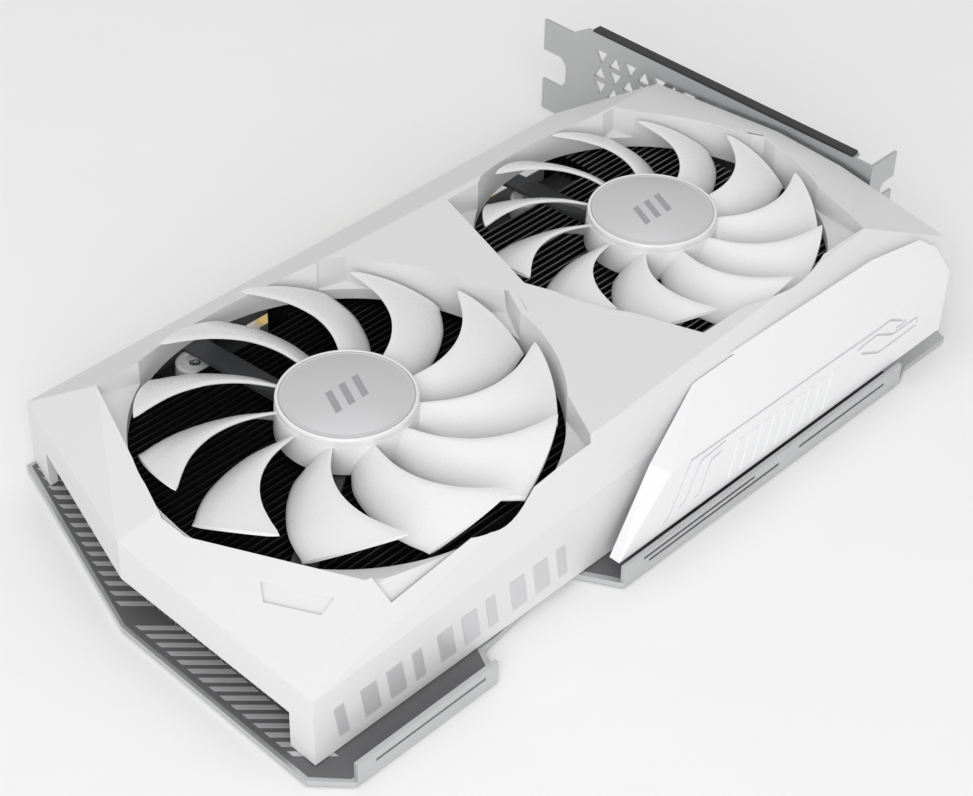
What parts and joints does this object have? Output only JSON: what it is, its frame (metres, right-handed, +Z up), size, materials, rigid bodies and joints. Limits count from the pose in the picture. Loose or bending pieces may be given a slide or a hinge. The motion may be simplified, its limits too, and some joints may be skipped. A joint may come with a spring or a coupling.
{
  "type": "graphics card",
  "caption": "Dual-fan graphics card: faceted white shroud, finned heatsink, circuit board, metal back cover and two-slot bracket with video ports.",
  "frame": {"origin": "centre of the card's bounding box in plan, at the underside of the back cover", "axes": "+X along the card towards the slot bracket, +Y towards the edge connector, +Z up through the fans"},
  "size_m": [0.2442, 0.1556, 0.0415],
  "materials": {
    "white": "satin white moulded plastic",
    "gloss": "glossy white moulded plastic",
    "silver": "silver-grey satin label",
    "cover": "brushed, silver-grey",
    "board": "black solder mask on glass-fibre laminate",
    "steel": "nickel-plated pressed steel",
    "gold": "gold-plated contacts",
    "copper": "nickel-free copper, satin",
    "die": "polished silicon",
    "black": "black nylon and epoxy",
    "choke": "grey ferrite with painted shell",
    "can": "bright can",
    "fins": "black-coated thin sheet"
  },
  "bodies": {
    "card": {"backplate": "cover", "backplate_screw_1": "steel", "backplate_screw_2": "steel", "backplate_screw_3": "steel", "backplate_screw_4": "steel", "bracket_gasket": "black", "capacitor_1": "can", "capacitor_2": "can", "capacitor_3": "can", "circuit_board": "board", "cold_plate": "copper", "edge_connector": "gold", "fin_stack_front": "fins", "fin_stack_tail": "fins", "fin_stack_tail_ends": "fins", "front_fan_mount": "black", "front_fan_stator": "black", "gpu_die": "die", "gpu_package": "board", "heat_pipe_1": "copper", "heat_pipe_2": "copper", "heat_pipe_3": "copper", "heat_pipe_4": "copper", "io_bracket": "steel", "memory_chip_1": "black", "memory_chip_2": "black", "memory_chip_3": "black", "memory_chip_4": "black", "memory_chip_5": "black", "memory_chip_6": "black", "power_choke_1": "choke", "power_choke_2": "choke", "power_choke_3": "choke", "power_choke_4": "choke", "power_choke_5": "choke", "power_socket": "black", "shroud": "white", "side_panel": "gloss", "tail_fan_mount": "black", "tail_fan_stator": "black", "video_port_1": "steel", "video_port_2": "steel", "video_port_3": "steel", "video_port_4": "steel"},
    "tail_fan": {"tail_fan_badge": "silver", "tail_fan_rotor": "white", "tail_fan_shaft": "steel"},
    "front_fan": {"front_fan_badge": "silver", "front_fan_rotor": "white", "front_fan_shaft": "steel"}
  },
  "joints": [
    {"name": "tail_fan_spin", "type": "hinge", "parent": "card", "child": "tail_fan", "pos_m": [-0.05785, -0.0153, 0.035], "axis": [0, 0, 1], "continuous": true},
    {"name": "front_fan_spin", "type": "hinge", "parent": "card", "child": "front_fan", "pos_m": [0.05115, -0.0153, 0.035], "axis": [0, 0, 1], "continuous": true}
  ]
}
